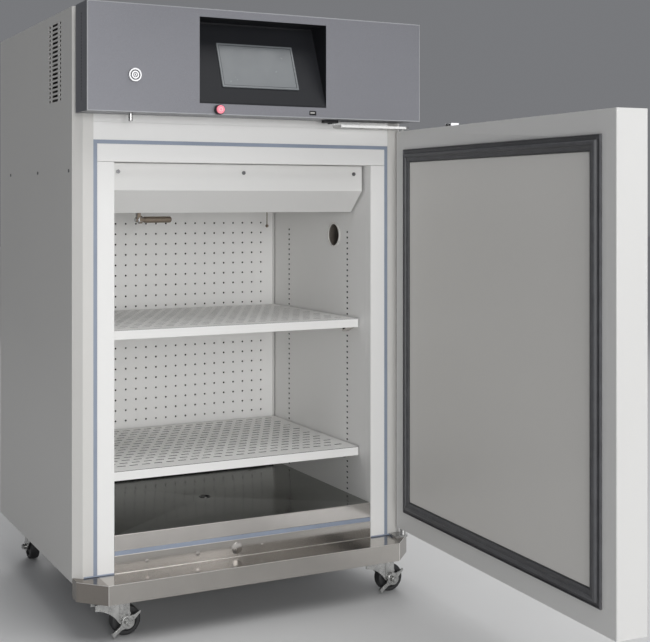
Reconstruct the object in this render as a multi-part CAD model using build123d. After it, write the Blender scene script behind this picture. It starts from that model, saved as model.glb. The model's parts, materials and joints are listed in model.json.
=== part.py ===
from build123d import *
import math
import os

# Laboratory incubator on casters, in millimetres. +Z is up, the front faces -Y and the hinge
# side is +X. The origin is on the floor, in the plane of the cabinet's front frame, midway across.
# The door is drawn closed and then turned on its hinge to the stored, open position.

# --- Driving dimensions: cabinet -----------------------------------------------------------
HALF_W = 375.0  # half the width over the side panels
TOP = 1238.0  # height over the floor
BODY_DEPTH = 610.0  # front frame plane to the back of the rear cover
SEAM_Y = 530.0  # where the side panels end and the rear cover starts
SKIN = 1.5  # outer sheet thickness
SIDE_BOTTOM = 111.2  # lower edge of the side panels
CHAMFER_X = 17.5  # slanted front edge of a side panel, seen from the front
CHAMFER_Y = 14.0  # and its depth
VENT_PITCH_Z = 9.04
VENT_ROWS = 18
VENT_TOP = 1216.0
VENT_SLOTS = ((90, 102), (113, 157), (166, 180))  # front and back end of each slot in a row
VENT_H = 5.2
PANEL_SCREW_Z = 917.0
PANEL_SCREW_YS = (34.0, 266.0, 504.0)

# --- Front frame, thermal break and chamber ------------------------------------------------
BREAK_OUT = 336.0  # thermal break strip, outer edge
BREAK_IN = 328.0  # and its inner edge
BREAK_Z0 = 970.5
BREAK_Z1 = 978.0
FRAME_DEPTH = 20.0
HEADER_STEP_Z = 1013.0
OPEN_HALF = 293.0  # half the width of the chamber opening
OPEN_TOP = 935.0
LIP_TOP = 197.5  # top of the stainless sill
SILL_BREAK_Z1 = 166.0
SILL_BREAK_Z0 = 157.0
LINER = 1.0
FLOOR_T = 1.2
LINER_BACK = 512.0
DECK_Z = 1002.0  # floor of the machine compartment

# --- Ledge and base ------------------------------------------------------------------------
LEDGE_TOP = 121.5
LEDGE_BOTTOM = 83.5
LEDGE_Y = -66.0
LEDGE_HALF = 326.0
LEDGE_SIDE_Y = -16.0
FRAME_Z0 = 85.0
FRAME_Z1 = 110.0
RAIL = 25.0
BASE_HALF = 345.0
BASE_Y0 = -40.0
BASE_Y1 = 590.0

# --- Door, drawn closed --------------------------------------------------------------------
DOOR_HALF = 372.0
DOOR_Y0 = -74.0  # outer face
DOOR_Y1 = -10.0  # inner face
DOOR_Z0 = 140.0
DOOR_Z1 = 1010.0
DOOR_EDGE_R = 2.0
GASKET_SIDE = 37.0  # door edge to the gasket, at the sides
GASKET_END = 41.0  # and at the top and bottom
GASKET_W = 28.0
HINGE_X = 362.5
HINGE_Y = -20.0
HINGE_PIN_R = 4.0
DOOR_REST_DEG = 86.6  # how far open the door is stored
HANDLE_X = -318.0
HANDLE_Z = 575.0
HANDLE_W = 46.0
HANDLE_H = 190.0
HANDLE_DEPTH = 26.0

# --- Control box ---------------------------------------------------------------------------
BOX_HALF = 372.0
BOX_Y0 = -74.0
BOX_Y1 = -1.2
BOX_Z0 = 1028.5
RECESS_HALF = 142.0
RECESS_Z0 = 1050.5
RECESS_Z1 = 1221.5
RECESS_DEPTH = 66.0  # depth at the top of the sloping recess
SCREEN_X = -1.0
SCREEN_W = 172.0
SCREEN_H = 99.0
SCREEN_Z = 1131.5
LOCK_X = -277.0
LOCK_Z = 1100.0
BOLT_Y = -50.0
BOLT_R = 4.0
BOLT_TIP = 1012.0
CRANK_R = 9.0
KEEPER_R = 5.0
BUTTON_X = -101.0
BUTTON_Z = 1038.8
BUTTON_R = 6.6
CAP_R = 8.4
USB_X = 110.6

# --- Shelves and air path ------------------------------------------------------------------
SHELF_TOPS = {"shelf_upper": 596.5, "shelf_lower": 312.0}
SHELF_HALF = 289.5
SHELF_Y0 = 48.0
SHELF_Y1 = 468.0
SHELF_FLANGE = 19.0
SHELF_T = 1.2
SLOT_L = 18.5
SLOT_W = 6.0
SLOT_PITCH_X = 26.8
SLOT_PITCH_Y = 25.5
SLOT_COLUMNS = 20
SLOT_ROWS = 15
SLOT_STAGGER = 6.7  # every row sits this far right or left of the middle, in turn
SLOT_MID_Y = 10.0  # the grid's middle, behind the middle of the shelf
PILASTER_YS = (104.0, 395.0)
PILASTER_TOP = 787.0
PILASTER_PITCH = 12.35
PILASTER_COUNT = 48
DIFFUSER_Y = 482.0
DIFFUSER_HALF = 290.4
DIFFUSER_Z0 = 215.0
DIFFUSER_Z1 = 832.0
HOLE_PITCH_X = 25.7
HOLE_PITCH_Z = 24.9
HOLE_TOP = 802.5
HOLE_R = 2.3
HOOD_HALF = 287.0
HOOD_Y = 28.0
HOOD_BEND_Z = 879.0
HOOD_EDGE_Y = 76.0
HOOD_EDGE_Z = 833.0
PORT_Y = 165.0
PORT_Z = 779.5
PORT_R = 25.0
FAN_Y = 250.0
FAN_R = 70.0

# --- Casters -------------------------------------------------------------------------------
CASTER_X = 305.0
CASTER_FRONT_Y = 3.0
CASTER_REAR_Y = 545.0
TRAIL = 34.0
WHEEL_R = 30.0
WHEEL_W = 22.0
AXLE_R = 4.0
KINGPIN_R = 5.0
LEVER_TILT = 36.0

parts = {}


def box(x0, x1, y0, y1, z0, z1):
    """A block between the given limits."""
    return Pos((x0 + x1) / 2, (y0 + y1) / 2, (z0 + z1) / 2) * Box(x1 - x0, y1 - y0, z1 - z0)


def rod_x(x0, x1, y, z, r):
    """A round bar along X."""
    return Pos((x0 + x1) / 2, y, z) * Rot(0, 90, 0) * Cylinder(r, x1 - x0)


def rod_y(x, y0, y1, z, r):
    """A round bar along Y."""
    return Pos(x, (y0 + y1) / 2, z) * Rot(90, 0, 0) * Cylinder(r, y1 - y0)


def rod_z(x, y, z0, z1, r):
    """A round bar along Z."""
    return Pos(x, y, (z0 + z1) / 2) * Cylinder(r, z1 - z0)


def plan(points, z0, z1):
    """An outline in plan, raised from z0 to z1."""
    return Pos(0, 0, z0) * extrude(Polygon(*points, align=None), z1 - z0, dir=(0, 0, 1))


def profile_x(points, x0, x1):
    """A (Y, Z) outline swept along X."""
    return Pos(x0, 0, 0) * extrude(Plane.YZ * Polygon(*points, align=None), x1 - x0, dir=(1, 0, 0))


def profile_y(points, y0, y1):
    """An (X, Z) outline swept along Y."""
    return Pos(0, y0, 0) * extrude(Plane.XZ * Polygon(*points, align=None), y1 - y0, dir=(0, 1, 0))


def mirrored(shape):
    """The same shape on the other side of the cabinet."""
    return mirror(shape, about=Plane.YZ)


def sheet_with_holes(width, height, holes, thickness):
    """A flat sheet centred on the origin in XY, with its holes cut in one sketch."""
    return extrude(Rectangle(width, height) - holes, thickness)


# --- Cabinet shell -------------------------------------------------------------------------
def side_panel():
    """Left side: one sheet bent round the front, with vent slots level with the machine deck."""
    run = math.hypot(CHAMFER_X, CHAMFER_Y)
    shift_y = SKIN * (run - CHAMFER_Y) / CHAMFER_X
    shift_x = SKIN * (run - CHAMFER_X) / CHAMFER_Y
    outer = [
        (-HALF_W, SEAM_Y),
        (-HALF_W, CHAMFER_Y),
        (-HALF_W + CHAMFER_X, 0),
        (-BREAK_OUT, 0),
    ]
    inner = [
        (-BREAK_OUT, SKIN),
        (-HALF_W + CHAMFER_X + shift_x, SKIN),
        (-HALF_W + SKIN, CHAMFER_Y + shift_y),
        (-HALF_W + SKIN, SEAM_Y),
    ]
    panel = plan(outer + inner, SIDE_BOTTOM, TOP - SKIN)
    slots = Sketch()
    for row in range(VENT_ROWS):
        for y0, y1 in VENT_SLOTS:
            place = Pos((y0 + y1) / 2, VENT_TOP - row * VENT_PITCH_Z)
            slots += place * SlotOverall(y1 - y0, VENT_H)
    cut = Pos(-HALF_W - 1, 0, 0) * extrude(Plane.YZ * slots, SKIN + 2)
    return panel - cut


def right_side_panel():
    """Right side: the same sheet, with the hole that the cable port passes through."""
    return mirrored(side_panel()) - rod_x(HALF_W - 5, HALF_W + 5, PORT_Y, PORT_Z, PORT_R + 2)


def top_cover():
    """Flat lid with the side panels' slanted front corners."""
    half = HALF_W - CHAMFER_X
    outline = [(-HALF_W, SEAM_Y), (-HALF_W, CHAMFER_Y), (-half, 0), (half, 0), (HALF_W, CHAMFER_Y)]
    return plan(outline + [(HALF_W, SEAM_Y)], TOP - SKIN, TOP)


def rear_cover():
    """Shallow box closing the back, with a louvred air outlet and the power inlet's hole."""
    cover = box(-HALF_W, HALF_W, SEAM_Y, BODY_DEPTH, SIDE_BOTTOM, TOP)
    t = SKIN
    cover -= box(-HALF_W + t, HALF_W - t, SEAM_Y - 1, BODY_DEPTH - t, SIDE_BOTTOM + t, TOP - t)
    slots = Sketch()
    for row in range(10):
        for column in range(7):
            slots += Pos(-150 + column * 50, 1075 + row * 14) * SlotOverall(40.0, 5.0)
            slots += Pos(-150 + column * 50, 190 + row * 14) * SlotOverall(40.0, 5.0)
    cover -= Pos(0, BODY_DEPTH + 1, 0) * extrude(Plane.XZ * slots, SKIN + 2)
    return cover - box(286, 314, BODY_DEPTH - 4, BODY_DEPTH + 1, 1150, 1170)


def base_frame():
    """Welded tube frame with a floor sheet and a pad for each caster."""
    frame = box(-BASE_HALF, -BASE_HALF + RAIL, BASE_Y0, BASE_Y1, FRAME_Z0, FRAME_Z1)
    frame += box(BASE_HALF - RAIL, BASE_HALF, BASE_Y0, BASE_Y1, FRAME_Z0, FRAME_Z1)
    for y in (BASE_Y0, 262.5, BASE_Y1 - RAIL):
        frame += box(-BASE_HALF, BASE_HALF, y, y + RAIL, FRAME_Z0, FRAME_Z1)
    for x in (-CASTER_X, CASTER_X):
        for y in (CASTER_FRONT_Y, CASTER_REAR_Y):
            frame += box(x - 35, x + 35, y - 40, y + 40, FRAME_Z0, FRAME_Z0 + 8)
    frame += box(-HALF_W + 1, HALF_W - 1, 15.5, BODY_DEPTH - 2, FRAME_Z1, SIDE_BOTTOM)
    return frame - rod_z(0, 237, FRAME_Z0 - 1, SIDE_BOTTOM + 1, 13)


def ledge_outline(inset, back):
    """Plan of the step below the door, with 45 degree front corners."""
    slant = inset * math.tan(math.radians(22.5))
    side = (HALF_W - inset, LEDGE_SIDE_Y + slant)
    corner = (LEDGE_HALF - slant, LEDGE_Y + inset)
    right = [(side[0], back), side, corner]
    return right + [(-x, y) for x, y in reversed(right)]


def front_ledge():
    """Stainless sheet: an upright band in the opening, a flat top and a skirt round the front."""
    half = HALF_W - CHAMFER_X
    shell = plan(ledge_outline(0, CHAMFER_Y - 2), LEDGE_BOTTOM, LEDGE_TOP)
    shell -= plan(ledge_outline(SKIN, CHAMFER_Y), LEDGE_BOTTOM - 1, LEDGE_TOP - SKIN)
    corner = [(half, 0), (-half, 0), (-HALF_W, CHAMFER_Y), (-HALF_W, 30), (HALF_W, 30)]
    shell -= plan(corner + [(HALF_W, CHAMFER_Y)], LEDGE_TOP - SKIN - 0.1, LEDGE_TOP + 1)
    band = box(-OPEN_HALF + 0.6, OPEN_HALF - 0.6, 0, SKIN, LEDGE_TOP - SKIN, SILL_BREAK_Z0)
    return shell + band


def channel(x0, x1, z0, z1):
    """A member of the front frame: a sheet channel that is open at the back."""
    t = SKIN
    inside = box(x0 + t, x1 - t, t, FRAME_DEPTH + 1, z0 + t, z1 - t)
    return box(x0, x1, 0, FRAME_DEPTH, z0, z1) - inside


def front_frame():
    """White painted uprights and headers round the opening."""
    left = channel(-BREAK_IN, -OPEN_HALF, LEDGE_TOP, OPEN_TOP)
    header = channel(-BREAK_IN, BREAK_IN, OPEN_TOP + 0.5, BREAK_Z0)
    upper = channel(-BREAK_OUT, BREAK_OUT, BREAK_Z1, HEADER_STEP_Z)
    plate = box(-BREAK_OUT, BREAK_OUT, 2, 4, HEADER_STEP_Z, TOP - SKIN)
    return Compound(children=[left, mirrored(left), header, upper + plate])


def thermal_break():
    """Plastic strips that separate the inner frame from the outer sheet."""
    left = box(-BREAK_OUT, -BREAK_IN, 0.6, FRAME_DEPTH, LEDGE_TOP, BREAK_Z0)
    top = box(-BREAK_OUT, BREAK_OUT, 0.6, FRAME_DEPTH, BREAK_Z0, BREAK_Z1)
    sill = box(-OPEN_HALF + 0.6, OPEN_HALF - 0.6, 0.4, FRAME_DEPTH, SILL_BREAK_Z0, SILL_BREAK_Z1)
    return Compound(children=[left, mirrored(left), top, sill])


# --- Chamber -------------------------------------------------------------------------------
def chamber_floor():
    """Stainless tray: four slopes to the drain, and a band folded down at the front."""
    half = OPEN_HALF - 0.6
    rim = Pos(0, 255, LIP_TOP) * Rectangle(2 * half - 3, 505)
    sump = Pos(0, 237, LIP_TOP - 7) * Rectangle(30, 30)
    slopes = loft([rim.face(), sump.face()], ruled=True)
    tray = box(-half, half, 0, LINER_BACK - 1, LIP_TOP - FLOOR_T, LIP_TOP)
    tray += Pos(0, 0, -FLOOR_T) * slopes
    tray -= slopes
    tray += box(-half, half, 0, SKIN, SILL_BREAK_Z1, LIP_TOP - 1)
    return tray - rod_z(0, 237, LIP_TOP - 12, LIP_TOP, 12.5)


def side_liner():
    """Left chamber wall with two columns of shelf slots."""
    slots = Sketch()
    for y in PILASTER_YS:
        for i in range(PILASTER_COUNT):
            slots += Pos(y, PILASTER_TOP - i * PILASTER_PITCH) * SlotOverall(8.5, 4.2)
    wall = box(-OPEN_HALF - LINER, -OPEN_HALF, FRAME_DEPTH, LINER_BACK, LIP_TOP - 9, OPEN_TOP)
    return wall - Pos(-OPEN_HALF - LINER - 1, 0, 0) * extrude(Plane.YZ * slots, LINER + 2)


def chamber_liner():
    """Side walls, ceiling and back of the chamber, as separate sheets."""
    left = side_liner()
    right = mirrored(left) - rod_x(OPEN_HALF - 5, OPEN_HALF + 5, PORT_Y, PORT_Z, PORT_R + 2)
    outer = OPEN_HALF + LINER
    ceiling = box(-outer, outer, FRAME_DEPTH, LINER_BACK, OPEN_TOP, OPEN_TOP + LINER)
    ceiling -= rod_z(0, FAN_Y, OPEN_TOP - 1, OPEN_TOP + 3, 8)
    ceiling -= rod_z(-200, 330, OPEN_TOP - 1, OPEN_TOP + 3, 8)
    back = box(-outer, outer, LINER_BACK, LINER_BACK + LINER, LIP_TOP - 9, OPEN_TOP + LINER)
    return Compound(children=[left, right, ceiling, back])


def insulation():
    """Foam blocks round the chamber."""
    out = HALF_W - SKIN - 0.5
    edge = OPEN_HALF + LINER
    y1 = LINER_BACK + LINER
    front = FRAME_DEPTH + 1
    side = box(-out, -edge, front, y1, SIDE_BOTTOM + 1, DECK_Z - 1)
    right = mirrored(side) - rod_x(edge - 1, out + 1, PORT_Y, PORT_Z, PORT_R + 2.5)
    top = box(-edge + 0.5, edge - 0.5, front, y1, OPEN_TOP + LINER, DECK_Z - 1)
    top -= rod_z(0, FAN_Y, OPEN_TOP - 1, DECK_Z, 8)
    top -= rod_z(-200, 330, OPEN_TOP - 1, DECK_Z, 8)
    floor = box(-edge + 0.5, edge - 0.5, front, y1, SIDE_BOTTOM + 1, LIP_TOP - 9)
    floor -= rod_z(0, 237, SIDE_BOTTOM, LIP_TOP, 17)
    back = box(-out, out, y1, y1 + 48, SIDE_BOTTOM + 2, DECK_Z - 1)
    return Compound(children=[side, right, top, floor, back])


def air_diffuser_panel():
    """Perforated sheet in front of the air duct, with its sides folded forward."""
    holes = Sketch()
    rows = int((HOLE_TOP - DIFFUSER_Z0) / HOLE_PITCH_Z) + 1
    for row in range(rows):
        for column in range(-10, 11):
            holes += Pos(column * HOLE_PITCH_X, HOLE_TOP - row * HOLE_PITCH_Z) * Circle(HOLE_R)
    height = DIFFUSER_Z1 - DIFFUSER_Z0
    flat = Pos(0, (DIFFUSER_Z0 + DIFFUSER_Z1) / 2) * Rectangle(2 * DIFFUSER_HALF, height)
    panel = Pos(0, DIFFUSER_Y + 1.2, 0) * extrude(Plane.XZ * (flat - holes), 1.2)
    fold = box(-DIFFUSER_HALF, -DIFFUSER_HALF + 1.2, DIFFUSER_Y - 8, DIFFUSER_Y, DIFFUSER_Z0, DIFFUSER_Z1)
    return panel + fold + mirrored(fold)


def air_hood():
    """Folded cover under the ceiling that holds the fan, coil and heater."""
    outer = [
        (HOOD_Y, OPEN_TOP - 1),
        (HOOD_Y, HOOD_BEND_Z),
        (HOOD_EDGE_Y, HOOD_EDGE_Z),
        (DIFFUSER_Y - 1, HOOD_EDGE_Z),
        (DIFFUSER_Y - 1, OPEN_TOP - 1),
    ]
    t = 1.2
    inner = [
        (HOOD_Y + t, OPEN_TOP + 1),
        (HOOD_Y + t, HOOD_BEND_Z + 0.5),
        (HOOD_EDGE_Y + 0.5, HOOD_EDGE_Z + t),
        (DIFFUSER_Y + 1, HOOD_EDGE_Z + t),
        (DIFFUSER_Y + 1, OPEN_TOP + 1),
    ]
    hood = profile_x(outer, -HOOD_HALF, HOOD_HALF)
    hood -= profile_x(inner, -HOOD_HALF + t, HOOD_HALF - t)
    grille = Sketch()
    for ring in range(1, 6):
        for step in range(ring * 6):
            angle = 360 / (ring * 6) * step
            grille += Rot(0, 0, angle) * Pos(ring * 13.0, 0) * Circle(4.2)
    grille += Circle(4.2)
    return hood - Pos(0, FAN_Y, HOOD_EDGE_Z - 1) * extrude(grille, 4)


def screw_y(x, y, z, r=4.0):
    """A pan-head screw whose head stands in front of a face at y."""
    return rod_y(x, y - 2.2, y, z, r) - box(x - 0.6, x + 0.6, y - 3, y - 1.2, z - r * 0.7, z + r * 0.7)


def cabinet_screws():
    """Hood screws, side panel screws and hinge screws."""
    screws = [screw_y(x, HOOD_Y, 916.5) for x in (-276.0, 0.0, 266.0)]
    for y in PANEL_SCREW_YS:
        screws.append(rod_x(-HALF_W - 1.4, -HALF_W, y, PANEL_SCREW_Z, 3.2))
        screws.append(rod_x(HALF_W, HALF_W + 1.4, y, PANEL_SCREW_Z, 3.2))
    for x in (-330.0, -110.0, 110.0, 330.0):
        for z in (160.0, 640.0, 1190.0):
            screws.append(rod_y(x, BODY_DEPTH, BODY_DEPTH + 1.8, z, 3.5))
    return Compound(children=screws)


def shelf(name):
    """Shelf sheet with staggered rows of slots and its edges folded down all round."""
    top = SHELF_TOPS[name]
    slots = Sketch()
    for row in range(SLOT_ROWS):
        for column in range(SLOT_COLUMNS):
            x = (column - (SLOT_COLUMNS - 1) / 2) * SLOT_PITCH_X + SLOT_STAGGER * (-1) ** row
            y = (row - (SLOT_ROWS - 1) / 2) * SLOT_PITCH_Y + SLOT_MID_Y
            slots += Pos(x, y) * SlotOverall(SLOT_L, SLOT_W)
    depth = SHELF_Y1 - SHELF_Y0
    mid = (SHELF_Y0 + SHELF_Y1) / 2
    sheet = Pos(0, mid, top - SHELF_T) * sheet_with_holes(2 * SHELF_HALF, depth, slots, SHELF_T)
    low = top - SHELF_FLANGE
    rim = box(-SHELF_HALF, SHELF_HALF, SHELF_Y0, SHELF_Y1, low, top - SHELF_T)
    t = SHELF_T
    rim -= box(-SHELF_HALF + t, SHELF_HALF - t, SHELF_Y0 + t, SHELF_Y1 - t, low - 1, top)
    return sheet + rim


def shelf_clips():
    """Eight bent clips hooked into the wall slots, four under each shelf."""
    clips = []
    for top in SHELF_TOPS.values():
        z = top - SHELF_FLANGE - 0.3
        for y in PILASTER_YS:
            wedge = [(y - 6, z - 14), (y + 4, z - 14), (y + 4, z), (y - 34, z), (y - 34, z - 3)]
            left = profile_x(wedge, -OPEN_HALF + 0.1, -OPEN_HALF + 11)
            left -= profile_x([(y - 20, z - 2), (y + 2, z - 2), (y - 1, z - 11)], -OPEN_HALF + 2, -270)
            clips += [left, mirrored(left)]
    return Compound(children=clips)


def cable_port():
    """Tube through the right wall with a rim on the inside and the outside."""
    inner, outer = OPEN_HALF, HALF_W
    port = rod_x(inner - 1.5, outer + 1.5, PORT_Y, PORT_Z, PORT_R + 1.9)
    port += rod_x(inner - 2, inner - 0.1, PORT_Y, PORT_Z, PORT_R + 4)
    port += rod_x(outer + 0.1, outer + 2, PORT_Y, PORT_Z, PORT_R + 4)
    return port - rod_x(inner - 3, outer + 3, PORT_Y, PORT_Z, PORT_R)


def temperature_probes():
    """Control sensor with a sintered cap, and a thin limit sensor, both under the hood."""
    y, z = 250.0, 816.0
    cap = rod_x(-140, -76, y, z, 7)
    cap = fillet(cap.edges().filter_by(GeomType.CIRCLE).sort_by(Axis.X)[-1], 5)
    stem = rod_x(-160, -140, y, z, 5.5) + rod_x(-153, -146, y, z, 8.5)
    hanger = box(-158, -150, y - 6, y + 6, z, HOOD_EDGE_Z)
    control = cap + stem + hanger
    bulb = rod_z(254, 440, 793, HOOD_EDGE_Z, 1.2) + Pos(254, 440, 795) * Sphere(4.0)
    return Compound(children=[control, bulb])


def drain_fitting():
    """Strainer ring in the floor with its outlet pipe."""
    z = LIP_TOP - 9
    pipe = rod_z(0, 237, 98, z, 12) - rod_z(0, 237, 90, z + 5, 9.5)
    ring = rod_z(0, 237, z - 2, z + 3, 12.4) - rod_z(0, 237, z - 3, z + 5, 9)
    bars = box(-10, 10, 236, 238, z, z + 2) + box(-1, 1, 227, 247, z, z + 2)
    return pipe + ring + bars


# --- Air handling and refrigeration --------------------------------------------------------
def evaporator():
    """Finned coil in the hood with its two pipes rising into the machine compartment."""
    coil = []
    for i in range(24):
        x = -255 + i * 6.0
        coil.append(box(x, x + 0.8, 300, 400, 850, 915))
    fins = coil[0]
    for fin in coil[1:]:
        fins += fin
    for z in (866.0, 882.0, 898.0):
        for y in (325.0, 350.0, 375.0):
            fins += rod_x(-262, -110, y, z, 4)
    riser = rod_z(-200, 330, 898, DECK_Z + 12, 4)
    return fins + riser


def heater_element():
    """Ring of tubular heater round the fan, on two posts."""
    ring = Pos(0, FAN_Y, 866) * Torus(95, 4)
    posts = rod_z(-95, FAN_Y, 866, OPEN_TOP, 3.5) + rod_z(95, FAN_Y, 866, OPEN_TOP, 3.5)
    return ring + posts


def fan_motors():
    """Circulation motor on the machine deck and condenser motor on its bracket."""
    circulation = rod_z(0, FAN_Y, DECK_Z, DECK_Z + 60, 42)
    circulation -= rod_z(0, FAN_Y, DECK_Z - 1, DECK_Z + 40, 5.05)
    condenser = rod_y(150, 330, 372, 1120, 30)
    condenser -= rod_y(150, 329, 360, 1120, 4.05)
    foot = box(142, 158, 350, 366, DECK_Z, 1095)
    return Compound(children=[circulation, condenser + foot])


def blades(count, hub_r, tip_r, height, width, pitch):
    """Flat fan blades on a hub, turning about Z."""
    fan = Cylinder(hub_r, height)
    for i in range(count):
        blade = Pos((hub_r + tip_r) / 2 - 1, 0, 0) * Rot(pitch, 0, 0) * Box(tip_r - hub_r + 2, width, 1.5)
        fan += Rot(0, 0, 360 / count * i) * blade
    return fan


def circulation_fan():
    """Fan in the hood on a shaft that passes through the ceiling to its motor."""
    fan = Pos(0, FAN_Y, 866) * blades(6, 16, FAN_R, 22, 24, 32)
    return fan + rod_z(0, FAN_Y, 866, DECK_Z + 38, 5)


def condenser_fan():
    """Fan that draws air through the condenser."""
    fan = Pos(150, 310, 1120) * Rot(90, 0, 0) * blades(5, 15, 72, 18, 34, 30)
    return fan + rod_y(150, 305, 358, 1120, 4)


def condenser():
    """Finned condenser with its tube ends."""
    core = box(55, 245, 250, 285, 1030, 1210)
    for i in range(29):
        x = 60 + i * 6.3
        core -= box(x, x + 3.5, 249, 286, 1038, 1202)
    for z in (1070.0, 1120.0, 1170.0):
        core += rod_x(50, 250, 267, z, 4)
    foot = box(60, 90, 255, 280, DECK_Z, 1031) + box(210, 240, 255, 280, DECK_Z, 1031)
    return core + foot


def compressor():
    """Hermetic compressor on a foot plate, with its stub pipes."""
    shell = Pos(-210, 330, 1095) * Cylinder(68, 90)
    shell = fillet(shell.edges().filter_by(GeomType.CIRCLE), 30)
    foot = box(-290, -130, 285, 375, DECK_Z + 20, DECK_Z + 24)
    stem = rod_z(-210, 330, DECK_Z + 22, 1060, 40)
    legs = rod_z(-280, 295, DECK_Z, DECK_Z + 21, 9) + rod_z(-140, 295, DECK_Z, DECK_Z + 21, 9)
    legs += rod_z(-280, 365, DECK_Z, DECK_Z + 21, 9) + rod_z(-140, 365, DECK_Z, DECK_Z + 21, 9)
    stubs = rod_z(-240, 310, 1100, 1165, 4) + rod_z(-185, 350, 1100, 1165, 3)
    return shell + foot + stem + legs + stubs - rod_z(-200, 330, DECK_Z - 1, DECK_Z + 14, 5)


def machine_deck():
    """Sheet over the insulation that carries the refrigeration and the electronics."""
    deck = box(-HALF_W + 2.5, HALF_W - 2.5, FRAME_DEPTH + 1, 560, DECK_Z - 1, DECK_Z)
    deck -= rod_z(0, FAN_Y, DECK_Z - 2, DECK_Z + 1, 7)
    return deck - rod_z(-200, 330, DECK_Z - 2, DECK_Z + 1, 7)


def electronics():
    """Controller board behind the display, and the power supply and relays on the deck."""
    board = box(-125, 125, -12, -10.4, 1052, 1190)
    for x, z in ((-90, 1070), (-40, 1085), (30, 1065), (85, 1080), (-106, 1160), (106, 1160)):
        board += box(x - 14, x + 14, -18, -11, z - 9, z + 9)
    supply = box(-80, 20, 420, 500, DECK_Z, DECK_Z + 50)
    relays = box(40, 120, 430, 490, DECK_Z, DECK_Z + 35)
    return Compound(children=[board, supply, relays])


def power_inlet():
    """Three-pole inlet socket in the rear cover."""
    y = BODY_DEPTH
    body = box(286.3, 313.7, y - 28, y + 0.2, 1150.3, 1169.7) + box(281, 319, y, y + 3, 1144, 1176)
    body -= box(289, 311, y - 16, y + 4, 1152.5, 1167.5)
    for x, z in ((293.5, 1158.0), (300.0, 1162.0), (306.5, 1158.0)):
        body += box(x - 1, x + 1, y - 17, y - 4, z - 2.2, z + 2.2)
    return body


# --- Control box ---------------------------------------------------------------------------
def control_box():
    """Steel cover over the controls, open at the back, with its cut-outs."""
    t = SKIN
    shell = box(-BOX_HALF, BOX_HALF, BOX_Y0, BOX_Y1, BOX_Z0, TOP)
    shell = fillet(shell.edges().filter_by(Axis.Z).sort_by(Axis.Y)[:2], 1.4)
    shell -= box(-BOX_HALF + t, BOX_HALF - t, BOX_Y0 + t, BOX_Y1 + 1, BOX_Z0 + t, TOP - t)
    shell -= box(-RECESS_HALF, RECESS_HALF, BOX_Y0 - 1, BOX_Y0 + t + 0.5, RECESS_Z0, RECESS_Z1)
    shell -= rod_y(LOCK_X, BOX_Y0 - 1, BOX_Y0 + 3, LOCK_Z, 11.2)
    shell -= rod_z(LOCK_X, BOLT_Y, BOX_Z0 - 1, BOX_Z0 + 3, BOLT_R + 0.1)
    shell -= rod_y(BUTTON_X, BOX_Y0 - 1, BOX_Y0 + 3, BUTTON_Z, 8.1)
    shell -= box(USB_X - 8, USB_X + 8, BOX_Y0 - 1, BOX_Y0 + 3, BUTTON_Z - 4.6, BUTTON_Z + 4.6)
    dots = Sketch()
    for i in range(28):
        dots += Pos((BOX_Y0 + BOX_Y1) / 2, 1052 + i * 6.1) * Rectangle(4.4, 3.4)
    return shell - Pos(-BOX_HALF - 1, 0, 0) * extrude(Plane.YZ * dots, 2 * BOX_HALF + 2)


def on_slope(shape):
    """Places a shape drawn facing +Z onto the sloping panel, at the middle of the screen."""
    lean = math.degrees(math.atan2(RECESS_DEPTH, RECESS_Z1 - RECESS_Z0))
    y = BOX_Y0 + RECESS_DEPTH * (SCREEN_Z - RECESS_Z0) / (RECESS_Z1 - RECESS_Z0)
    return Pos(SCREEN_X, y, SCREEN_Z) * Rot(90 - lean, 0, 0) * shape


def display_recess():
    """Black tray behind the cut-out, with a window for the screen."""
    t = 2.0
    front = BOX_Y0 + SKIN
    back = BOX_Y0 + RECESS_DEPTH
    z0, z1 = RECESS_Z0, RECESS_Z1
    outer = [(front, z0 - 3), (front, z1 + t), (back + t, z1 + t), (back + t, z1 - 2)]
    edge_z = z1 - 4.5
    edge_y = back - RECESS_DEPTH * (z1 - edge_z) / (z1 - z0)
    inner = [(front - 4, z0), (front - 4, z1), (back + 0.8, z1), (back + 0.8, edge_z)]
    inner += [(edge_y, edge_z), (BOX_Y0, z0)]
    tray = profile_x(outer, -RECESS_HALF - t, RECESS_HALF + t)
    tray -= profile_x(inner, -RECESS_HALF, RECESS_HALF)
    return tray - on_slope(Box(SCREEN_W - 6, SCREEN_H - 6, 30))


def touch_screen():
    """Touch panel: a bezel on the slope and the display module behind it."""
    bezel = Pos(0, 0, 0.85) * Box(SCREEN_W, SCREEN_H, 1.5)
    bezel = fillet(bezel.edges().filter_by(Axis.Z), 3)
    module = Pos(0, 0, -5.9) * Box(SCREEN_W - 8, SCREEN_H - 8, 12.2)
    return on_slope(bezel + module)


def usb_port():
    """Flush data socket."""
    y = BOX_Y0
    port = box(USB_X - 7.9, USB_X + 7.9, y - 0.4, y + 14, BUTTON_Z - 4.5, BUTTON_Z + 4.5)
    port -= box(USB_X - 6.2, USB_X + 6.2, y - 1, y + 12, BUTTON_Z - 2.6, BUTTON_Z + 2.6)
    return port + box(USB_X - 5.4, USB_X + 5.4, y + 1, y + 12.5, BUTTON_Z - 0.2, BUTTON_Z + 1.8)


def power_button_ring():
    """Bezel ring and barrel that guide the power button."""
    y = BOX_Y0
    ring = rod_y(BUTTON_X, y - 8.5, y, BUTTON_Z, 10)
    ring = chamfer(ring.edges().filter_by(GeomType.CIRCLE).sort_by(Axis.Y)[0], 0.8)
    ring -= rod_y(BUTTON_X, y - 9, y - 0.4, BUTTON_Z, CAP_R + 0.06)
    ring += rod_y(BUTTON_X, y - 0.5, y + 22, BUTTON_Z, 8)
    return ring - rod_y(BUTTON_X, y - 3, y + 18, BUTTON_Z, BUTTON_R + 0.06)


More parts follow.
